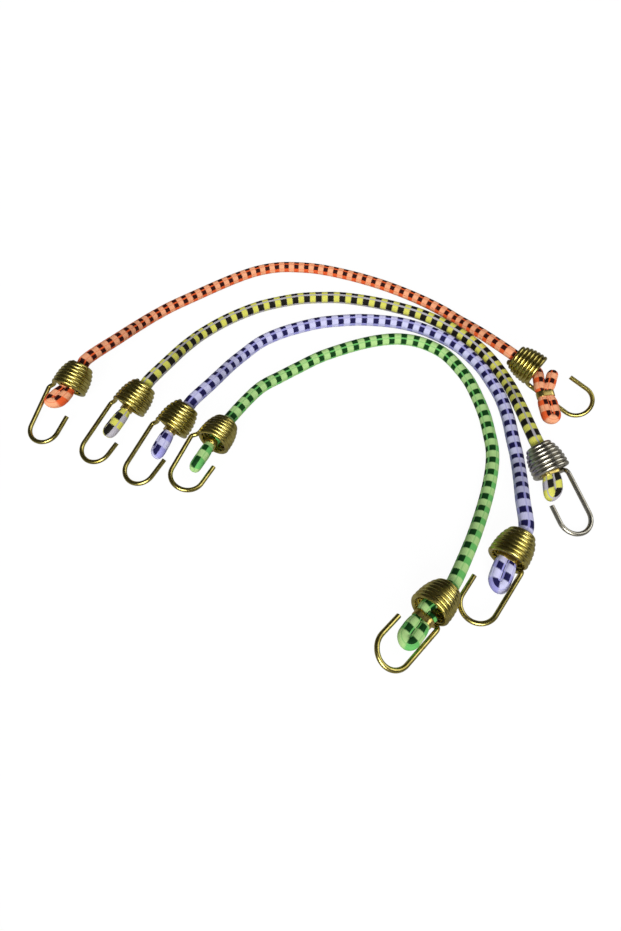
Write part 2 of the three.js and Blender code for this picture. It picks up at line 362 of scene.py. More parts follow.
def new_material(name: str) -> tuple[bpy.types.Material, NodeBench]:
    """Starts a material with an empty shader tree.

    Args:
        name: The material's name.

    Returns:
        The material and the bench for its nodes.
    """
    material = bpy.data.materials.new(name)
    material.use_nodes = True
    return material, NodeBench(material.node_tree)


def new_group(name: str, inputs: dict[str, str], outputs: dict[str, str]) -> tuple[NodeBench, Any, Any]:
    """Starts a shader node group with named sockets.

    Args:
        name: The group's name.
        inputs: Socket kinds by name, for what the group takes.
        outputs: Socket kinds by name, for what it gives.

    Returns:
        The bench for its nodes, its input sockets and the sockets of its output node.
    """
    group = bpy.data.node_groups.new(name, "ShaderNodeTree")
    for direction, sockets in (("INPUT", inputs), ("OUTPUT", outputs)):
        for socket, kind in sockets.items():
            group.interface.new_socket(name=socket, in_out=direction, socket_type="NodeSocket" + kind)
    bench = NodeBench(group)
    return bench, bench.add("NodeGroupInput").outputs, bench.add("NodeGroupOutput").inputs


@dataclass(frozen=True)
class Braid:
    """How the woven pattern repeats round and along a cord."""

    pitch: float = 0.0045
    phase: float = 0.0
    columns: int = 4
    dark_columns: int = 2
    sides_per_column: int = 14
    step: float = 0.00034
    groove: float = 0.00008
    pillow: float = 0.00005
    teeth: int = 7
    tooth: float = 0.12
    yarns: int = 6

    @property
    def sides(self) -> int:
        """The number of points round a tube."""
        return self.columns * self.sides_per_column

    def relief(self, column: np.ndarray, repeat: np.ndarray) -> np.ndarray:
        """Gives the height of the weave above the cord's even surface.

        Args:
            column: The place round the cord, counted in columns.
            repeat: The place along the cord, counted in repeats of the pattern.

        Returns:
            The height at each place.
        """
        across = 2 * np.abs(column - np.floor(column) - 0.5)
        swell = np.abs(np.sin(2 * np.pi * repeat)) ** 0.5
        return self.pillow * swell * (1 - across**2) - self.groove * across**6

    def pattern_group(self) -> bpy.types.NodeTree:
        """Builds the node group that colours the braid: pale and deeper rings, with dashes in some rows,
        and painted shade in the grooves between the yarns.

        Returns:
            The group, which takes a place, three colours, a count and three shares, and gives colour,
            height and roughness.
        """
        bench, given, result = new_group(
            "braid_pattern",
            {"Place": "Vector", "Ground": "Color", "Cell": "Color", "Dash": "Color", "Columns": "Float",
             "Dash Share": "Float", "Row Share": "Float", "Line": "Float"},
            {"Colour": "Color", "Height": "Float", "Roughness": "Float"})
        parts = bench.add("ShaderNodeSeparateXYZ", Vector=given["Place"]).outputs
        counted = bench.math("FLOOR", bench.math("ADD", parts[0], 1.0))
        column = bench.math("FLOORED_MODULO", counted, given["Columns"])
        is_dark = bench.math("LESS_THAN", column, self.dark_columns - 0.5)
        across = bench.math("SUBTRACT", bench.math("FRACT", parts[0]), 0.5)
        away = bench.math("ABSOLUTE", across)
        teeth = bench.math("PINGPONG", bench.math("MULTIPLY", across, self.teeth), 0.5)
        shift = bench.math("MULTIPLY_ADD", teeth, self.tooth, -self.tooth / 4)
        phase = bench.math("FRACT", bench.math("ADD", parts[1], shift))
        from_dash = bench.math("ABSOLUTE", bench.math("SUBTRACT", phase, 0.5))
        half_dash = bench.math("MULTIPLY", given["Dash Share"], 0.5)
        beyond = bench.math("SUBTRACT", from_dash, half_dash)
        is_ring = bench.fade(beyond, -0.03, 0.03, 1.0, 0.0)
        outside = bench.math("SUBTRACT", away, bench.math("MULTIPLY", given["Row Share"], 0.5))
        is_row = bench.fade(outside, -0.03, 0.03, 1.0, 0.0)
        is_line = bench.math("MULTIPLY", bench.fade(away, 0.40, 0.47, 0.0, 1.0), given["Line"])
        lengthwise = bench.math("SINE", bench.math("MULTIPLY", across, 2 * math.pi * self.yarns))
        slant = bench.math("MULTIPLY_ADD", parts[1], 2.0 * self.yarns, bench.math("MULTIPLY", away, 30.0))
        crossing = bench.math("SINE", bench.math("MULTIPLY", slant, math.pi))
        yarn = bench.math("ADD", bench.math("MULTIPLY", lengthwise, is_row),
                          bench.math("MULTIPLY", crossing, bench.math("SUBTRACT", 1.0, is_row)))
        fibre = bench.noise(bench.stretched(given["Place"], (9.0, 3.0, 1.0)), 6.0)
        patch = bench.noise(bench.stretched(given["Place"], (1.0, 0.6, 1.0)), 1.3)
        rings = bench.mix(is_ring, given["Cell"], given["Ground"])
        lined = bench.mix(is_line, rings, given["Ground"])
        is_dash = bench.math("MULTIPLY", bench.math("MULTIPLY", is_ring, is_row), is_dark)
        plain = bench.mix(is_dash, lined, given["Dash"])
        # Painted shade: the colour is darkened in the grooves between the yarns, down to 0.86 of full.
        depth = bench.math("MULTIPLY_ADD", yarn, 0.06, 0.92)
        worn = bench.math("MULTIPLY_ADD", fibre, 0.14, bench.math("MULTIPLY_ADD", patch, 0.10, -0.12))
        # The painted groove shade plus random fibre and patch wear, as one grey factor.
        shade = bench.math("ADD", depth, worn)
        groove_shade_and_wear = bench.add("ShaderNodeCombineColor", Red=shade, Green=shade, Blue=shade).outputs[0]
        # The pattern's colours are multiplied by the painted groove shade and the wear.
        bench.feed(result["Colour"], bench.mix(1.0, plain, groove_shade_and_wear, "MULTIPLY"))
        bench.feed(result["Height"], bench.math("MULTIPLY_ADD", fibre, 0.4, yarn))
        bench.feed(result["Roughness"], bench.math("MULTIPLY_ADD", fibre, 0.22, 0.58))
        return bench.tree


@dataclass(frozen=True)
class BraidFinish:
    """The colours of one cord's braid, written as they look on screen, and the shares of its pattern."""

    slot: str
    ground: ScreenColour
    cell: ScreenColour
    dash: ScreenColour
    columns: int = 4
    dash_share: float = 0.46
    row_share: float = 0.66
    line: float = 0.45

    def material(self, group: bpy.types.NodeTree) -> bpy.types.Material:
        """Builds the material of the braid.

        Args:
            group: The node group of the braid's pattern.

        Returns:
            The new material.
        """
        material, bench = new_material(self.slot)
        place = bench.add("ShaderNodeUVMap", {"uv_map": UV_NAME}).outputs[0]
        braid = bench.add("ShaderNodeGroup", {"node_tree": group}, Place=place, Ground=linear(*self.ground),
                          Cell=linear(*self.cell), Dash=linear(*self.dash), Columns=self.columns,
                          Dash_Share=self.dash_share, Row_Share=self.row_share, Line=self.line).outputs
        bump = bench.add("ShaderNodeBump", Height=braid["Height"], Strength=0.35, Distance=0.00005)
        shader = bench.add("ShaderNodeBsdfPrincipled", Base_Color=braid["Colour"],
                           Roughness=braid["Roughness"], Normal=bump.outputs[0], Sheen_Weight=0.04,
                           Sheen_Roughness=0.4, Specular_IOR_Level=0.18)
        bench.add("ShaderNodeOutputMaterial", Surface=shader.outputs[0])
        return material


@dataclass(frozen=True)
class MetalFinish:
    """A thin plating on drawn wire or rolled strip, with its colours as they look on screen."""

    slot: str
    bright: ScreenColour
    dull: ScreenColour
    stain: ScreenColour
    roughness: float

    @staticmethod
    def plating_group() -> bpy.types.NodeTree:
        """Builds the node group of a mottled plating with fine lines along the metal.

        Returns:
            The group, which takes a place along the metal, a place in space, three colours and a roughness.
        """
        bench, given, result = new_group(
            "drawn_plating",
            {"Along": "Vector", "Space": "Vector", "Bright": "Color", "Dull": "Color", "Stain": "Color",
             "Base Roughness": "Float"},
            {"Colour": "Color", "Height": "Float", "Roughness": "Float"})
        lines = bench.noise(bench.stretched(given["Along"], (14.0, 0.25, 1.0)), 4.0, 3.0)
        mottle = bench.noise(given["Space"], 420.0, 3.0)
        bloom = bench.noise(given["Space"], 150.0)
        dulled = bench.fade(mottle, 0.42, 0.68, 0.0, 0.8)
        stained = bench.fade(bloom, 0.50, 0.72, 0.0, 0.55)
        plating = bench.mix(dulled, given["Bright"], given["Dull"])
        bench.feed(result["Colour"], bench.mix(stained, plating, given["Stain"]))
        bench.feed(result["Height"], lines)
        rubbed = bench.math("MULTIPLY_ADD", lines, 0.10, given["Base Roughness"])
        bench.feed(result["Roughness"], bench.math("MULTIPLY_ADD", dulled, 0.10, rubbed))
        return bench.tree

    def material(self, group: bpy.types.NodeTree) -> bpy.types.Material:
        """Builds the material of the plated metal.

        Args:
            group: The node group of the plating.

        Returns:
            The new material.
        """
        material, bench = new_material(self.slot)
        along = bench.add("ShaderNodeUVMap", {"uv_map": UV_NAME}).outputs[0]
        space = bench.add("ShaderNodeTexCoord").outputs["Object"]
        plating = bench.add("ShaderNodeGroup", {"node_tree": group}, Along=along, Space=space,
                            Bright=linear(*self.bright), Dull=linear(*self.dull),
                            Stain=linear(*self.stain), Base_Roughness=self.roughness).outputs
        bump = bench.add("ShaderNodeBump", Height=plating["Height"], Strength=0.12, Distance=0.00002)
        shader = bench.add("ShaderNodeBsdfPrincipled", Base_Color=plating["Colour"], Metallic=1.0,
                           Roughness=plating["Roughness"], Normal=bump.outputs[0])
        bench.add("ShaderNodeOutputMaterial", Surface=shader.outputs[0])
        return material


@dataclass(frozen=True)
class LatexFinish:
    """Natural latex threads, dusted with talc."""

    slot: str = "latex"
    fresh: ScreenColour = (226, 208, 168)
    dusted: ScreenColour = (238, 230, 210)

    def material(self) -> bpy.types.Material:
        """Builds the material of the core.

        Returns:
            The new material.
        """
        material, bench = new_material(self.slot)
        place = bench.add("ShaderNodeUVMap", {"uv_map": UV_NAME}).outputs[0]
        dust = bench.noise(bench.stretched(place, (4.0, 0.5, 1.0)), 5.0, 3.0)
        colour = bench.mix(bench.fade(dust, 0.4, 0.65, 0.0, 1.0), linear(*self.fresh), linear(*self.dusted))
        bump = bench.add("ShaderNodeBump", Height=dust, Strength=0.2, Distance=0.00005)
        rough = bench.math("MULTIPLY_ADD", dust, 0.2, 0.6)
        shader = bench.add("ShaderNodeBsdfPrincipled", Base_Color=colour, Roughness=rough,
                           Normal=bump.outputs[0])
        bench.add("ShaderNodeOutputMaterial", Surface=shader.outputs[0])
        return material


@dataclass(frozen=True)
class Finishes:
    """All materials of the set, by the name of their slot."""

    braids: dict[Tint, BraidFinish]
    wire: MetalFinish
    bright_wire: MetalFinish
    band: MetalFinish
    latex: LatexFinish

    def build(self, braid: Braid) -> dict[str, bpy.types.Material]:
        """Builds every material once.

        Args:
            braid: The pattern that all cords share.

        Returns:
            The materials by slot.
        """
        pattern = braid.pattern_group()
        plating = MetalFinish.plating_group()
        materials = {finish.slot: finish.material(pattern) for finish in self.braids.values()}
        for metal in (self.wire, self.bright_wire, self.band):
            materials[metal.slot] = metal.material(plating)
        materials[self.latex.slot] = self.latex.material()
        return materials


@dataclass(frozen=True)
class WireHook:
    """The wire hook in its own frame: the coil's mouth at z = 0, the axis along +z, the shank at +x."""

    reach: float
    tip_length: float
    shoulder: float
    wire_radius: float = 0.00072
    coil_turns: int = 7
    coil_length: float = 0.00925
    neck_radius: float = 0.00308
    mouth_radius: float = 0.00505
    fullness: float = 3.0
    rim_bend_radius: float = 0.0020
    turn_steps: int = 56
    bend_steps: int = 40
    rim_steps: int = 12
    shank_steps: int = 24
    section_steps: int = 6
    end_chamfer: float = 0.00022
    chamfer_steps: int = 3
    merge_distance: float = 1e-6
    smooth_angle: float = 50.0
    spacing: float = 0.00036

    def wire_line(self) -> np.ndarray:
        """Gives the points down the middle of the wire, from its end at the neck to its tip.

        Returns:
            The points, evenly spaced: coil, rim bend, shank, bend and tip.
        """
        rim_angle = -self.rim_bend_radius / self.mouth_radius
        share = np.linspace(0.0, 1.0, self.coil_turns * self.turn_steps + 1)
        radius = self.mouth_radius - (self.mouth_radius - self.neck_radius) * (1 - share) ** self.fullness
        angle = rim_angle - 2 * np.pi * self.coil_turns * (1 - share)
        height = -self.coil_length * (1 - share)
        coil = np.stack([radius * np.cos(angle), radius * np.sin(angle), height], axis=1)
        turn = np.linspace(0.0, np.pi / 2, self.rim_steps + 1)[1:]
        angle = rim_angle * (1 - np.sin(turn))
        rim_height = self.rim_bend_radius * (1 - np.cos(turn))
        centre = self.reach - self.mouth_radius
        height = np.append(rim_height, np.linspace(self.rim_bend_radius, centre, self.shank_steps)[1:-1])
        angle = np.append(angle, np.zeros(self.shank_steps - 2))
        lean = self.shank_lean(centre)
        straight = self.mouth_radius + self.shoulder - math.tan(lean) * (height - self.rim_bend_radius)
        rise = smooth_step(height / self.rim_bend_radius)
        radius = self.mouth_radius + (straight - self.mouth_radius) * rise
        shank = np.stack([radius * np.cos(angle), radius * np.sin(angle), height], axis=1)
        turn = np.linspace(lean, np.pi, self.bend_steps + 1)
        bend = np.stack([self.mouth_radius * np.cos(turn), 0 * turn,
                         centre + self.mouth_radius * np.sin(turn)], axis=1)
        tip = np.array([[-self.mouth_radius, 0.0, centre - self.tip_length]])
        return evenly_spaced(np.vstack([coil, shank, bend, tip]), self.spacing)

    def shank_lean(self, centre: float) -> float:
        """Gives the angle by which the shank leans in from its shoulder, so that it runs into the bend.

        Args:
            centre: The height of the middle of the bend.

        Returns:
            The angle from the coil's axis.
        """
        beside = self.mouth_radius + self.shoulder
        below = centre - self.rim_bend_radius
        return math.acos(self.mouth_radius / math.hypot(beside, below)) - math.atan2(below, beside)

    def build(self, name: str, place: Matrix, material: bpy.types.Material) -> bpy.types.Object:
        """Bends a round wire along its line and rounds its two cut ends.

        Args:
            name: The name of the new object.
            place: The frame of the coil's mouth, with the shank on its x axis.
            material: The finish of the wire.

        Returns:
            The hook, with its place in its mesh.
        """
        line = self.wire_line()
        deselect_all()
        bpy.ops.curve.primitive_nurbs_path_add()
        piece = bpy.context.object
        piece.name = name
        curve = piece.data
        curve.splines.clear()
        spline = curve.splines.new("POLY")
        spline.points.add(len(line) - 1)
        spline.points.foreach_set("co", np.column_stack([line, np.ones(len(line))]).ravel())
        curve.bevel_depth = self.wire_radius
        curve.bevel_resolution = self.section_steps
        curve.use_fill_caps = True
        bpy.ops.object.convert(target="MESH")
        piece = bpy.context.object
        self.round_ends()
        self.wrap(piece.data, line)
        piece.data.transform(place)
        piece.data.materials.clear()
        piece.data.materials.append(material)
        piece.data.name = name
        return piece

    def round_ends(self) -> None:
        """Chamfers the edges of the two cut ends of the wire that was made last."""
        bpy.ops.object.mode_set(mode="EDIT")
        bpy.ops.mesh.remove_doubles(threshold=self.merge_distance)
        bpy.ops.mesh.select_all(action="DESELECT")
        bpy.ops.mesh.select_mode(type="FACE")
        bpy.ops.mesh.select_face_by_sides(number=4, type="GREATER")
        bpy.ops.mesh.bevel(offset=self.end_chamfer, segments=self.chamfer_steps, affect="EDGES")
        bpy.ops.mesh.select_all(action="SELECT")
        bpy.ops.mesh.normals_make_consistent(inside=False)
        bpy.ops.object.mode_set(mode="OBJECT")
        bpy.ops.object.shade_smooth_by_angle(angle=math.radians(self.smooth_angle))

    def wrap(self, mesh: bpy.types.Mesh, line: np.ndarray) -> None:
        """Gives the wire a UV map: u round the wire, v along it in wire diameters.

        Args:
            mesh: The wire's mesh, in the hook's own frame.
            line: The points down the middle of the wire.
        """
        tree = KDTree(len(line))
        for index, point in enumerate(line):
            tree.insert(point, index)
        tree.balance()
        along = lengths_along(line) / (2 * self.wire_radius)
        places = np.zeros((len(mesh.vertices), 2), np.float32)
        for vertex in mesh.vertices:
            nearest, index, _ = tree.find(vertex.co)
            offset = np.array(vertex.co - nearest)
            out = np.array([nearest.x, nearest.y, 0.0])
            out /= max(np.linalg.norm(out), TINY)
            places[vertex.index] = (math.atan2(offset @ UPWARDS, offset @ out) / math.pi, along[index])
        corners = np.zeros(len(mesh.loops), np.int32)
        mesh.loops.foreach_get("vertex_index", corners)
        layer = mesh.uv_layers.get(UV_NAME) or mesh.uv_layers.new(name=UV_NAME)
        layer.data.foreach_set("uv", places[corners].ravel())
        mesh.uv_layers.active = layer


@dataclass(frozen=True)
class CrimpBand:
    """A narrow strip of metal bent round both strands of a folded end and pinched between them."""

    width: float = 0.0020
    thickness: float = 0.00032
    strand_offset: float = 0.00116
    inner_radius: float = 0.00154
    pinch: float = 0.86
    seam: float = 0.00018
    corners: int = 56
    edge_round: float = 0.00009
    edge_steps: int = 2
    edge_angle: float = 40.0
    smooth_angle: float = 45.0
    middle_width: float = 1e-6

    def build(self, name: str, place: Matrix, material: bpy.types.Material) -> bpy.types.Object:
        """Shapes the band from a short open cylinder.

        Args:
            name: The name of the new object.
            place: The frame of the band's middle, with the strands side by side on its x axis.
            material: The finish of the strip.

        Returns:
            The band, with its place in its mesh.
        """
        deselect_all()
        bpy.ops.mesh.primitive_cylinder_add(vertices=self.corners, radius=self.inner_radius,
                                            depth=self.width, end_fill_type="NOTHING", calc_uvs=True)
        band = bpy.context.object
        band.name = name
        band.data.name = name
        for sign in (1, -1):
            self.select(band, lambda point, sign=sign: sign * point.x > self.middle_width)
            bpy.ops.transform.translate(value=(sign * self.strand_offset, 0.0, 0.0))
        self.select(band, lambda point: abs(point.x) < self.middle_width)
        bpy.ops.transform.resize(value=(1.0, self.pinch, 1.0), center_override=(0.0, 0.0, 0.0))
        self.open_seam(band)
        solid = band.modifiers.new("strip", "SOLIDIFY")
        solid.thickness = self.thickness
        solid.offset = 1.0
        edges = band.modifiers.new("edges", "BEVEL")
        edges.width = self.edge_round
        edges.segments = self.edge_steps
        edges.angle_limit = math.radians(self.edge_angle)
        apply_modifiers(band)
        bpy.ops.object.shade_smooth_by_angle(angle=math.radians(self.smooth_angle))
        band.data.uv_layers[0].name = UV_NAME
        band.data.transform(place)
        band.data.materials.append(material)
        return band

    @staticmethod
    def select(band: bpy.types.Object, wanted: Callable[[Vector], bool]) -> None:
        """Selects the points that a test wants, and stays in edit mode.

        Args:
            band: The band, active and in object mode or edit mode.
            wanted: The test, which takes a point's place.
        """
        bpy.ops.object.mode_set(mode="EDIT")
        bpy.ops.mesh.select_mode(type="VERT")
        bpy.ops.mesh.select_all(action="DESELECT")
        bpy.ops.object.mode_set(mode="OBJECT")
        for vertex in band.data.vertices:
            vertex.select = wanted(vertex.co)
        bpy.ops.object.mode_set(mode="EDIT")

    def open_seam(self, band: bpy.types.Object) -> None:
        """Opens the narrow gap where the strip's two ends meet, in the pinch of the lower side.

        Args:
            band: The band, pinched and not yet thick.
        """
        self.select(band, lambda point: abs(point.x) < self.middle_width and point.y < 0)
        bpy.ops.mesh.bevel(offset=self.seam, segments=1, affect="EDGES")
        self.select(band, lambda point: abs(point.x) < 1.5 * self.seam and point.y < 0)
        bpy.ops.mesh.delete(type="ONLY_FACE")
        bpy.ops.object.mode_set(mode="OBJECT")


@dataclass(frozen=True)
class OpenEnd:
    """Where the band of a cord end is that hangs out of its coil."""

    band: Point
    heading: float
    tilt: float
    stump: float = 0.0086
    spread: float = 0.0036
    lift: float = 0.0006


@dataclass(frozen=True)
class FoldPlan:
    """Where a fold's band and end are, how it turns, hangs and leans, and how plump its bight is."""

    band: float
    end: float
    turn: float = 0.0
    droop: float = 0.0014
    lean: float = 0.0
    plump: float = 0.0018


@dataclass(frozen=True)
class EndPlan:
    """How one end of a cord lies: the hook's roll, sizes and plating, and the fold in the coil's mouth."""

    roll: float
    reach: float
    tip: float
    fold: FoldPlan
    shoulder: float = 0.0
    is_bright: bool = False
    open_end: Optional[OpenEnd] = None


def turned(axis: Vector) -> Matrix:
    """Gives the frame of a coil: z along its axis, x level to its left, y upwards.

    Args:
        axis: The direction out of the coil's mouth.

    Returns:
        The frame, without a place.
    """
    along = axis.normalized()
    left = Vector((-along.y, along.x, 0.0)).normalized()
    up = along.cross(left)
    return Matrix((left, up, along)).transposed().to_4x4()


def direction(heading: float, tilt: float) -> Vector:
    """Gives the direction with a heading from +X and a drop below the level, both in degrees.

    Args:
        heading: The angle from +X, seen from above.
        tilt: The angle below the level.

    Returns:
        The direction, of length 1.
    """
    angle = math.radians(heading)
    drop = math.radians(tilt)
    return Vector((math.cos(angle) * math.cos(drop), math.sin(angle) * math.cos(drop), -math.sin(drop)))


@dataclass(frozen=True)
class FoldedEnd:
    """A cord end that folds back on itself, in its own frame: +z outwards, the strands side by side."""

    braid: Braid
    plan: FoldPlan
    radius: float = 0.00186
    band_radius: float = 0.00160
    strand_offset: float = 0.00142
    start: float = 0.0085
    straight: float = 0.0006
    stump: float = 0.0022
    ease_gap: float = 0.0003
    crease: float = 0.00003
    band_reach: float = 0.0019
    waist: float = 0.15
    sway_start: float = -0.0030
    sway_power: float = 1.5
    arc_steps: int = 10
    ease_points: int = 7
    stump_bend: float = 0.6
    stump_tip: float = 0.25

    @property
    def bend(self) -> float:
        """The place along the fold where its two strands turn into each other."""
        return self.plan.end - self.strand_offset

    def strand(self, sign: int, *places: float) -> list[tuple[float, float, float]]:
        """Gives points on one of the two strands, by their places along the fold."""
        return [(sign * self.strand_offset, 0.0, place) for place in places]

    def bight(self) -> np.ndarray:
        """Gives the points of the two strands outside the band and of the bend between them.

        Returns:
            The points, from the band round the bend and back to it.
        """
        turn = np.linspace(0.0, np.pi, self.arc_steps + 1)
        arc = np.stack([-self.strand_offset * np.cos(turn), 0 * turn,
                        self.bend + self.strand_offset * np.sin(turn)], axis=1)
        middle = (self.plan.band + self.bend) / 2
        there = self.strand(-1, self.plan.band, middle)
        back = self.strand(1, middle, self.plan.band)
        return np.vstack([there, arc, back])

    def seated_line(self) -> np.ndarray:
        """Gives the line of a fold that sits in its coil's mouth.

        Returns:
            The points in the fold's frame, from inside the coil to the end of the stump.
        """
        ease_start = self.straight - self.start
        ease_end = self.plan.band - self.stump - self.ease_gap
        share = np.linspace(0.0, 1.0, self.ease_points)
        ease = np.stack([-self.strand_offset * smooth_step(share), 0 * share,
                         ease_start + (ease_end - ease_start) * share], axis=1)
        lead = np.vstack([[(0.0, 0.0, -self.start)], ease])
        stump = self.strand(1, self.plan.band - self.stump)
        return smooth_through(np.vstack([lead, self.bight(), stump]), self.braid.step)

    def open_line(self, coil: Matrix, fold: Matrix, end: OpenEnd) -> np.ndarray:
        """Gives the line of a fold whose coil has slid up the cord.

        Args:
            coil: The frame of the coil's mouth.
            fold: The frame of the fold.
            end: How far the stump reaches and spreads, and the lead is lifted off the hook's shank.

        Returns:
            The points in the fold's frame.
        """
        to_fold = fold.inverted() @ coil
        lead = [to_fold @ Vector((0.0, 0.0, -self.start * share)) for share in (1.0, 0.5, 0.0)]
        before = self.strand(-1, self.plan.band - self.band_reach)
        stump = self.strand(1, self.plan.band - self.stump_bend * self.band_reach)
        stump.append((self.strand_offset + end.spread, 0.0, self.plan.band - end.stump))
        middle = (np.array(lead[-1]) + np.array(before[0])) / 2 + np.array([0.0, end.lift, 0.0])
        line = np.vstack([np.array(lead), middle, before, self.bight(), stump])
        return smooth_through(line, self.braid.step)

    def radii(self, line: np.ndarray, is_open: bool) -> np.ndarray:
        """Gives the strand's radius along its line: full, pulled in at the band, plump in the bight.

        Args:
            line: The points of the strand.
            is_open: True where the stump's end shows and is rounded.

        Returns:
            The radius at each point.
        """
        along = line[:, 2]
        outside = smooth_step((along - self.plan.band) / (self.bend - self.plan.band))
        full = self.radius + (self.plan.plump - self.radius) * outside
        pull = np.exp(-(((along - self.plan.band) / self.band_reach) ** 2))
        radius = full + (self.band_radius - full) * pull
        if is_open:
            from_end = lengths_along(line)[-1] - lengths_along(line)
            share = np.clip(from_end / self.radius, 0.0, 1.0)
            radius *= self.stump_tip + (1 - self.stump_tip) * np.sqrt(1 - (1 - share) ** 2)
        return radius

    def build(self, name: str, coil: Matrix, open_end: Optional[OpenEnd],
              material: bpy.types.Material) -> bpy.types.Object:
        """Makes the folded end as a woven tube whose strands press against each other.

        Args:
            name: The name of the new object.
            coil: The frame of the coil's mouth.
            open_end: Where the fold hangs, if it is out of its coil.
            material: The finish of the braid.

        Returns:
            The folded end, with its place in its mesh.
        """
        fold = self.frame(coil, open_end)
        is_open = open_end is not None
        line = self.open_line(coil, fold, open_end) if is_open else self.seated_line()
        along = lengths_along(line)
        angle = np.linspace(0.0, 2 * np.pi, self.braid.sides + 1)
        around = angle - math.radians(self.plan.turn)
        column = np.broadcast_to(around / (2 * np.pi) * self.braid.columns + 0.5, (len(line), len(angle)))
        repeat = np.broadcast_to((along / self.braid.pitch)[:, None], column.shape)
        reach = self.radii(line, is_open)[:, None] + self.braid.relief(column, repeat)
        rings = line[:, None] + reach[..., None] * ring_directions(line, np.array([0.0, 1.0, 0.0]), angle)
        self.press(rings, line)
        pull = np.exp(-(((rings[..., 2] - self.plan.band) / self.band_reach) ** 2))
        rings[..., :2] *= (1 - self.waist * pull * self.near_band(line))[..., None]
        rings[..., :2] += self.sway(rings[..., 2])
        piece = ring_mesh(name, rings[:, :-1], np.stack([column, repeat], axis=-1), is_loop=False)
        piece.data.transform(fold)
        piece.data.materials.append(material)
        return piece

    def frame(self, coil: Matrix, open_end: Optional[OpenEnd]) -> Matrix:
        """Gives the frame of the fold: in its coil's mouth, or out at its own band.

        Args:
            coil: The frame of the coil's mouth.
            open_end: Where the fold hangs, if it is out of its coil.

        Returns:
            The frame, with the strands side by side on its x axis.
        """
        if open_end is not None:
            out = turned(direction(open_end.heading, open_end.tilt))
            return Matrix.Translation(open_end.band) @ out
        return coil @ Matrix.Rotation(math.radians(self.plan.turn), 4, "Z")

    def press(self, rings: np.ndarray, line: np.ndarray) -> None:
        """Flattens the strands where they lie against each other, and the inside of the bend.

        Args:
            rings: The points of the tube, which are moved.
            line: The points down the strand's middle.
        """
        is_bend = line[:, 2] > self.bend
        outward = np.zeros_like(line)
        outward[:, 0] = np.where(is_bend, line[:, 0], np.sign(line[:, 0]))
        outward[:, 2] = np.where(is_bend, line[:, 2] - self.bend, 0.0)
        outward /= np.maximum(np.linalg.norm(outward, axis=1), TINY)[:, None]
        centre = np.array([0.0, 0.0, self.bend])
        from_crease = np.einsum("rsa,ra->rs", rings - centre, outward)
        is_paired = line[:, 2] > self.plan.band - self.stump
        lack = np.where(is_paired[:, None], np.maximum(self.crease - from_crease, 0.0), 0.0)
        rings += lack[..., None] * outward[:, None]

    def near_band(self, line: np.ndarray) -> np.ndarray:
        """Gives 1 where the band may pull a strand in, and 0 on a lead that only passes beside it."""
        aside = np.abs(np.abs(line[:, 0]) - self.strand_offset) + np.abs(line[:, 1])
        return (1 - smooth_step(aside / self.strand_offset))[:, None]

    def sway(self, along: np.ndarray) -> np.ndarray:
        """Gives how far the fold hangs and leans out of the coil's axis, by the place along it.

        Args:
            along: Places along the fold.

        Returns:
            The shifts along the fold's own x and y axes.
        """
        share = (along - self.sway_start) / (self.plan.end - self.sway_start)
        share = np.maximum(share, 0.0) ** self.sway_power
        turn = math.radians(self.plan.turn)
        aside = self.plan.lean * math.cos(turn) - self.plan.droop * math.sin(turn)
        upwards = -self.plan.lean * math.sin(turn) - self.plan.droop * math.cos(turn)
        return np.stack([share * aside, share * upwards], axis=-1)

    def band_frame(self, coil: Matrix, open_end: Optional[OpenEnd]) -> Matrix:
        """Gives the frame of the band, which has moved aside with the strands that it holds."""
        shift = self.sway(np.array(self.plan.band))
        return self.frame(coil, open_end) @ Matrix.Translation((*shift, self.plan.band))


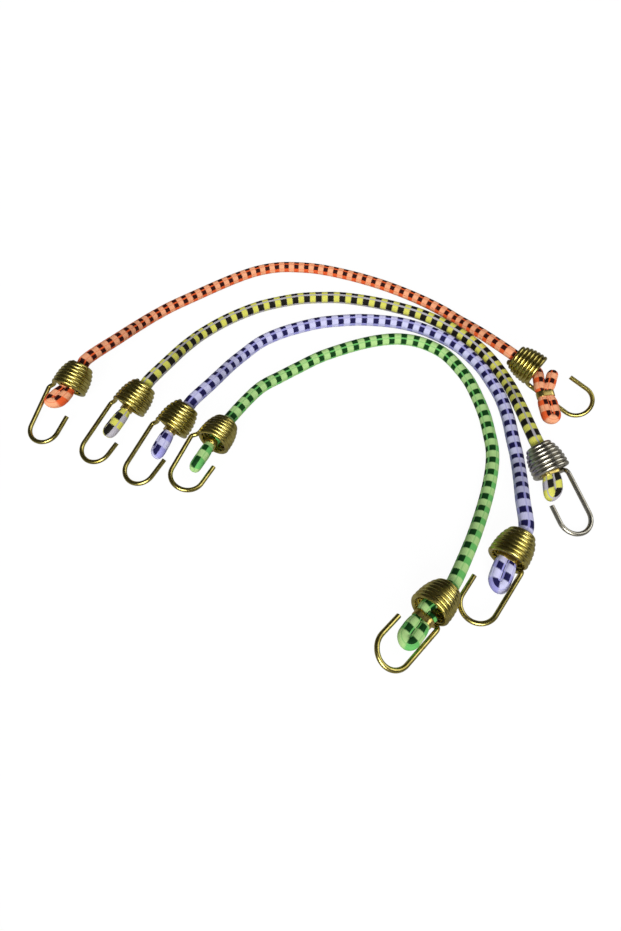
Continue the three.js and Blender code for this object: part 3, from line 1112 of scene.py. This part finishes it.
@dataclass
class BungeeCord:
    """One cord of the set with its core, hooks, folded ends and bands."""

    tint: Tint
    route: list[tuple[float, ...]]
    left: EndPlan
    right: EndPlan
    give: float
    rows: tuple[int, ...]
    braid: Braid = field(default_factory=Braid)
    radius: float = 0.0020
    bore: float = 0.00155
    bore_step: int = 8
    core_radius: float = 0.00118
    core_threads: int = 9
    core_step: int = 3
    thread_sides: int = 6
    thread_depth: float = 0.18
    lead_out: float = 0.0098
    straight_out: float = 0.0115
    cord_start: float = 0.0086

    def name(self, *words: str) -> str:
        """Gives the name of a piece of this cord."""
        return "_".join([self.tint.value, *words])

    def coil_frame(self, frame: dict[str, Any], side: Side) -> Matrix:
        """Gives the frame of the coil's mouth at one end, from the swivel joint there.

        Args:
            frame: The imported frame.
            side: Which end of the cord.

        Returns:
            The frame, with z out of the coil.
        """
        wanted = self.name(side.value, "swivel")
        joint = next(joint for joint in frame["joints"] if joint["name"] == wanted)
        return Matrix.Translation(joint["pos_m"]) @ turned(Vector(joint["axis"]))

    def free_line(self, left: Matrix, right: Matrix, spacing: float) -> np.ndarray:
        """Gives the line of the free stretch from inside one coil to inside the other.

        Args:
            left: The frame of the left coil's mouth.
            right: The frame of the right coil's mouth.
            spacing: The distance wanted between points.

        Returns:
            The points, none of them so low that the cord would sink into the table.
        """
        lying = [point if len(point) == 3 else (*point, self.radius) for point in self.route]
        inside = (self.cord_start, self.lead_out, self.straight_out)
        first = [tuple(left @ Vector((0.0, 0.0, -along))) for along in inside]
        last = [tuple(right @ Vector((0.0, 0.0, -along))) for along in reversed(inside)]
        line = smooth_through(np.array([*first, *lying, *last]), spacing)
        line[:, 2] = np.maximum(line[:, 2], self.radius)
        return line

    def sheath_rings(self, line: np.ndarray) -> tuple[np.ndarray, np.ndarray]:
        """Gives the rings of the woven sheath, outside and then back along its bore.

        Args:
            line: The points down the middle of the cord.

        Returns:
            The rings, and the UV of each of their points.
        """
        along = lengths_along(line)
        angle = np.linspace(0.0, 2 * np.pi, self.braid.sides + 1)
        across = ring_directions(line, UPWARDS, angle)
        row = np.interp(along / along[-1], np.linspace(0.0, 1.0, len(self.rows)), np.radians(self.rows))
        column = (angle[None, :] - row[:, None]) / (2 * np.pi) * self.braid.columns + 0.5
        repeat = np.broadcast_to((along / self.braid.pitch + self.braid.phase)[:, None], column.shape)
        reach = self.radius - self.braid.pillow + self.braid.relief(column, repeat)
        outside = line[:, None] + reach[..., None] * across
        kept = np.unique(np.append(np.arange(0, len(line), self.bore_step), len(line) - 1))[::-1]
        inside = line[kept, None] + self.bore * across[kept]
        places = np.stack([column, repeat], axis=-1)
        return np.concatenate([outside, inside])[:, :-1], np.concatenate([places, places[kept]])

    def core_rings(self, line: np.ndarray) -> tuple[np.ndarray, np.ndarray]:
        """Gives the rings of the bundle of latex threads.

        Args:
            line: The points down the middle of the cord.

        Returns:
            The rings, and the UV of each of their points.
        """
        angle = np.linspace(0.0, 2 * np.pi, self.thread_sides * self.core_threads + 1)
        dip = 1 - np.abs(np.sin(angle * self.core_threads / 2))
        reach = self.core_radius * (1 - self.thread_depth * dip)
        rings = line[:, None] + reach[None, :, None] * ring_directions(line, UPWARDS, angle)
        column = np.broadcast_to(angle / (2 * np.pi) * self.core_threads, rings.shape[:2])
        repeat = np.broadcast_to((lengths_along(line) / self.braid.pitch)[:, None], rings.shape[:2])
        return rings[:, :-1], np.stack([column, repeat], axis=-1)

    def build(self, frame: dict[str, Any], finishes: Finishes,
              materials: dict[str, bpy.types.Material]) -> list[bpy.types.Object]:
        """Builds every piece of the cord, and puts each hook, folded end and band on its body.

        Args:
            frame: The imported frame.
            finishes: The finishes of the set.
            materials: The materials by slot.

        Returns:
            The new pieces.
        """
        coils = {side: self.coil_frame(frame, side) for side in Side}
        braid_slot = finishes.braids[self.tint].slot
        pieces = self.build_free(coils, braid_slot, materials, finishes.latex.slot)
        for side, plan in ((Side.LEFT, self.left), (Side.RIGHT, self.right)):
            wire_slot = finishes.bright_wire.slot if plan.is_bright else finishes.wire.slot
            end_body = self.name("left_end") if side is Side.LEFT else self.name("cord")
            roll = Matrix.Rotation(math.radians(plan.roll), 4, "Z")
            hook = WireHook(plan.reach, plan.tip, plan.shoulder).build(
                self.name(side.value, "wire"), coils[side] @ roll, materials[wire_slot])
            settle(hook, self.name(side.value, "hook"), self.name(side.value, "hook"))
            folded = FoldedEnd(self.braid, plan.fold)
            fold = folded.build(
                self.name(side.value, "bight"), coils[side], plan.open_end, materials[braid_slot])
            settle(fold, end_body, self.name(side.value, "fold"))
            band = CrimpBand().build(
                self.name(side.value, "crimp"), folded.band_frame(coils[side], plan.open_end),
                materials[finishes.band.slot])
            settle(band, end_body, self.name(side.value, "band"))
            pieces += [hook, fold, band]
        return pieces

    def build_free(self, coils: dict[Side, Matrix], slot: str, materials: dict[str, bpy.types.Material],
                   core_slot: str) -> list[bpy.types.Object]:
        """Builds the free stretch and its core, which stretch between the cord's two ends.

        Args:
            coils: The frames of the two coils' mouths.
            slot: The slot of the braid.
            materials: The materials by slot.
            core_slot: The slot of the core.

        Returns:
            The sheath and the core.
        """
        line = self.free_line(coils[Side.LEFT], coils[Side.RIGHT], self.braid.step)
        sheath = ring_mesh(self.name("braid"), *self.sheath_rings(line), is_loop=True)
        sheath.data.materials.append(materials[slot])
        coarse = evenly_spaced(line, self.core_step * self.braid.step)
        core = ring_mesh(self.name("threads"), *self.core_rings(coarse), is_loop=False)
        core.data.materials.append(materials[core_slot])
        for piece, node, piece_slot in ((sheath, "sheath", slot), (core, "core", core_slot)):
            self.name("cord")
            self.name("left_end")
            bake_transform(piece)
            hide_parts(self.name(node))
        return [sheath, core]


def settle(piece: bpy.types.Object, body: str, node: str) -> None:
    """Puts a piece on its body in place of a plain solid.

    Args:
        piece: The finished piece.
        body: The body that it moves with.
        node: The solid that it stands for.
    """
    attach(piece, body)
    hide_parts(node)


@dataclass(frozen=True)
class Studio:
    """The camera, the pale floor and the soft light."""

    camera_place: Point = (-0.0008, -0.0892, 0.1540)
    camera_tilt: float = 57.0
    focal_pixels: float = 572.0
    picture_height: float = 931.0
    sensor: float = 36.0
    nearest_seen: float = 0.01
    floor_size: float = 8.0
    floor_level: float = -0.0008
    floor_glow: float = 0.97
    floor_shine: float = 0.34
    floor_grey: ScreenColour = (180, 180, 180)
    shadow_grey: ScreenColour = (60, 60, 60)
    sun_strength: float = 2.9
    sun_turn: Point = (56.0, 0.0, -6.0)
    sun_angle: float = 34.0
    sky: float = 0.30
    backdrop: float = 0.70
    dark_room: float = 0.04
    window_way: Point = (0.75, 0.10, 0.65)
    window_level: float = 2.0
    window_edge: tuple[float, float] = (0.88, 0.97)

    def build(self) -> None:
        """Makes the camera, the floor, the sun and the surroundings."""
        self.build_camera()
        self.build_floor()
        self.build_sun()
        self.build_surroundings()
        bpy.context.scene.view_settings.view_transform = "Standard"

    def build_camera(self) -> None:
        """Places the camera as the photograph was taken."""
        data = bpy.data.cameras.new("camera")
        data.sensor_width = self.sensor
        data.lens = self.focal_pixels / self.picture_height * self.sensor
        data.clip_start = self.nearest_seen
        camera = bpy.data.objects.new("camera", data)
        camera.location = self.camera_place
        camera.rotation_euler = (math.radians(90 - self.camera_tilt), 0.0, 0.0)
        bpy.context.scene.collection.objects.link(camera)
        bpy.context.scene.camera = camera

    def build_floor(self) -> None:
        """Lays a plain pale floor just under the round wires of the hooks."""
        deselect_all()
        bpy.ops.mesh.primitive_plane_add(size=self.floor_size, location=(0.0, 0.0, self.floor_level))
        floor = bpy.context.object
        floor.name = "floor"
        material, bench = new_material("floor")
        rays = bench.add("ShaderNodeLightPath").outputs
        lit = bench.add("ShaderNodeBsdfDiffuse", Color=linear(*self.floor_grey)).outputs[0]
        faint = bench.add("ShaderNodeBsdfDiffuse", Color=linear(*self.shadow_grey)).outputs[0]
        glow = bench.add("ShaderNodeEmission", Strength=self.floor_glow).outputs[0]
        shine = bench.add("ShaderNodeEmission", Strength=self.floor_shine).outputs[0]
        seen = bench.add("ShaderNodeAddShader")
        bench.feed(seen.inputs[0], glow)
        bench.feed(seen.inputs[1], faint)
        surface = lit
        for ray, shader in (("Is Glossy Ray", shine), ("Is Camera Ray", seen.outputs[0])):
            choice = bench.add("ShaderNodeMixShader", Fac=rays[ray])
            bench.feed(choice.inputs[1], surface)
            bench.feed(choice.inputs[2], shader)
            surface = choice.outputs[0]
        bench.add("ShaderNodeOutputMaterial", Surface=surface)
        floor.data.materials.append(material)

    def build_sun(self) -> None:
        """Adds one wide soft light from the front."""
        data = bpy.data.lights.new("soft_light", "SUN")
        data.energy = self.sun_strength
        data.angle = math.radians(self.sun_angle)
        sun = bpy.data.objects.new("soft_light", data)
        sun.rotation_euler = [math.radians(turn) for turn in self.sun_turn]
        bpy.context.scene.collection.objects.link(sun)

    def build_surroundings(self) -> None:
        """Makes an even sky for cloth and floor, and for the metal a dark room with one bright window."""
        world = bpy.data.worlds.new("studio")
        world.use_nodes = True
        bpy.context.scene.world = world
        bench = NodeBench(world.node_tree)
        way = bench.add("ShaderNodeTexCoord").outputs["Generated"]
        towards = bench.add("ShaderNodeVectorMath", {"operation": "DOT_PRODUCT"})
        bench.feed(towards.inputs[0], way)
        bench.feed(towards.inputs[1], Vector(self.window_way).normalized())
        level = bench.fade(towards.outputs["Value"], *self.window_edge, self.dark_room, self.window_level)
        rays = bench.add("ShaderNodeLightPath").outputs
        even = bench.math("MULTIPLY", bench.math("SUBTRACT", 1.0, rays["Is Glossy Ray"]), self.sky)
        lighting = bench.math("MULTIPLY_ADD", level, rays["Is Glossy Ray"], even)
        strength = bench.math("MULTIPLY_ADD", rays["Is Camera Ray"], self.backdrop, lighting)
        shade = bench.add("ShaderNodeBackground", Color=(1.0, 1.0, 1.0, 1.0), Strength=strength)
        bench.add("ShaderNodeOutputWorld", Surface=shade.outputs[0])


FINISHES = Finishes(
    braids={
        Tint.ORANGE: BraidFinish("orange_braid", (238, 98, 44), (253, 176, 132), (46, 5, 1), columns=6,
                                 row_share=0.74),
        Tint.YELLOW: BraidFinish("yellow_braid", (186, 182, 190), (222, 220, 98), (20, 17, 8),
                                 dash_share=0.52, row_share=0.78, line=1.0),
        Tint.PURPLE: BraidFinish("purple_braid", (164, 162, 228), (212, 211, 248), (24, 20, 78), columns=5,
                                 row_share=0.74),
        Tint.GREEN: BraidFinish("green_braid", (110, 196, 104), (184, 226, 146), (4, 62, 14), columns=5,
                                row_share=0.78),
    },
    wire=MetalFinish("yellow_zinc_wire", (200, 186, 106), (158, 144, 68), (124, 110, 46), 0.20),
    bright_wire=MetalFinish("bright_wire", (198, 194, 180), (164, 158, 140), (140, 134, 114), 0.22),
    band=MetalFinish("band_metal", (222, 200, 120), (186, 160, 84), (160, 130, 62), 0.22),
    latex=LatexFinish(),
)

CORDS = [
    BungeeCord(
        tint=Tint.ORANGE,
        route=[
            (-0.0695, 0.0622, 0.0060), (-0.0646, 0.0715, 0.0033), (-0.0586, 0.0792), (-0.0444, 0.0901),
            (-0.0293, 0.1003), (-0.0213, 0.1042), (-0.0133, 0.1061), (-0.0051, 0.1060), (0.0031, 0.1048),
            (0.0191, 0.0994), (0.0344, 0.0916), (0.0488, 0.0813), (0.0552, 0.0745, 0.0025),
            (0.0611, 0.0654, 0.0051),
        ],
        left=EndPlan(roll=180, reach=0.0207, tip=0.0063, shoulder=0.0018,
                     fold=FoldPlan(band=-0.0009, end=0.0065, droop=-0.0006, lean=-0.0018, plump=0.0021)),
        right=EndPlan(roll=215, reach=0.0215, tip=0.0066, fold=FoldPlan(band=0.0, end=0.0088, droop=0.0),
                      open_end=OpenEnd(band=(0.0784, 0.0358, 0.0052), heading=-83, tilt=14)),
        give=0.048,
        rows=(75, 60, 45, 45, 38),
        radius=0.00203,
        braid=Braid(pitch=0.0041, phase=0.1, columns=6),
    ),
    BungeeCord(
        tint=Tint.YELLOW,
        route=[
            (-0.0495, 0.0502, 0.0069), (-0.0471, 0.0563, 0.0052), (-0.0446, 0.0618, 0.0036),
            (-0.0417, 0.0668, 0.0024), (-0.0348, 0.0734), (-0.0276, 0.0785), (-0.0201, 0.0826),
            (-0.0126, 0.0852), (-0.0048, 0.0871), (0.0029, 0.0877), (0.0108, 0.0876), (0.0185, 0.0863),
            (0.0262, 0.0843), (0.0337, 0.0816), (0.0411, 0.0783), (0.0482, 0.0737), (0.0548, 0.0679),
            (0.0608, 0.0607), (0.0660, 0.0499), (0.0678, 0.0415, 0.0034), (0.0682, 0.0303, 0.0064),
        ],
        left=EndPlan(roll=180, reach=0.0219, tip=0.0046, shoulder=0.0013,
                     fold=FoldPlan(band=0.0006, end=0.0101, turn=45, droop=0.0002, plump=0.0021)),
        right=EndPlan(roll=0, reach=0.0200, tip=0.0056, is_bright=True,
                      fold=FoldPlan(band=-0.0005, end=0.0062, droop=0.0020, lean=-0.0016)),
        give=0.036,
        rows=(50, 60, 65, 80, 60),
        radius=0.00215,
        braid=Braid(pitch=0.0047, phase=-0.3),
    ),
    BungeeCord(
        tint=Tint.PURPLE,
        route=[
            (-0.0343, 0.0394, 0.0070), (-0.0317, 0.0450, 0.0054), (-0.0290, 0.0508, 0.0037),
            (-0.0259, 0.0560, 0.0024), (-0.0192, 0.0635), (-0.0121, 0.0681), (-0.0047, 0.0713),
            (0.0029, 0.0737), (0.0104, 0.0748), (0.0180, 0.0753), (0.0255, 0.0748), (0.0330, 0.0735),
            (0.0402, 0.0708), (0.0473, 0.0665), (0.0537, 0.0607), (0.0596, 0.0518), (0.0621, 0.0454),
            (0.0644, 0.0372), (0.0653, 0.0287), (0.0652, 0.0197), (0.0651, 0.0115, 0.0022),
            (0.0637, 0.0030, 0.0043), (0.0620, -0.0053, 0.0066),
        ],
        left=EndPlan(roll=180, reach=0.0212, tip=0.0065, shoulder=0.0015,
                     fold=FoldPlan(band=0.0004, end=0.0089, turn=45, droop=0.0, lean=0.0014, plump=0.0020)),
        right=EndPlan(roll=0, reach=0.0202, tip=0.0064,
                      fold=FoldPlan(band=-0.0011, end=0.0070, droop=0.0022, lean=0.0016)),
        give=0.025,
        rows=(50, 57, 55, 50, 30),
        radius=0.00217,
        braid=Braid(pitch=0.0045, phase=-0.05, columns=5),
    ),
    BungeeCord(
        tint=Tint.GREEN,
        route=[
            (-0.0182, 0.0402, 0.0036), (-0.0116, 0.0462, 0.0025), (-0.0046, 0.0514), (0.0027, 0.0562),
            (0.0101, 0.0597), (0.0175, 0.0626), (0.0249, 0.0646), (0.0323, 0.0652), (0.0394, 0.0636),
            (0.0462, 0.0593), (0.0492, 0.0558), (0.0520, 0.0509), (0.0546, 0.0449), (0.0563, 0.0379),
            (0.0576, 0.0297), (0.0579, 0.0216), (0.0578, 0.0156), (0.0568, 0.0098), (0.0546, 0.0024),
            (0.0518, -0.0049, 0.0021), (0.0485, -0.0122, 0.0029), (0.0451, -0.0190, 0.0035),
        ],
        left=EndPlan(roll=165, reach=0.0193, tip=0.0070, shoulder=0.0015,
                     fold=FoldPlan(band=0.0008, end=0.0099, turn=70, droop=0.0007)),
        right=EndPlan(roll=-25, reach=0.0197, tip=0.0069,
                      fold=FoldPlan(band=0.0026, end=0.0104, droop=0.0011, lean=0.0008)),
        give=0.060,
        rows=(40, 64, 78, 85, 108),
        radius=0.00210,
        braid=Braid(pitch=0.0047, phase=-0.15, columns=5),
    ),
]


def main() -> None:
    """Builds the studio and the four cords."""
    logging.basicConfig(level=logging.INFO, format="%(message)s")
    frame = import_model()
    Studio().build()
    materials = FINISHES.build(Braid())
    for cord in CORDS:
        for piece in cord.build(frame, FINISHES, materials):
            LOG.info("%s: %d faces", piece.name, len(piece.data.polygons))


if __name__ == "__main__":
    main()
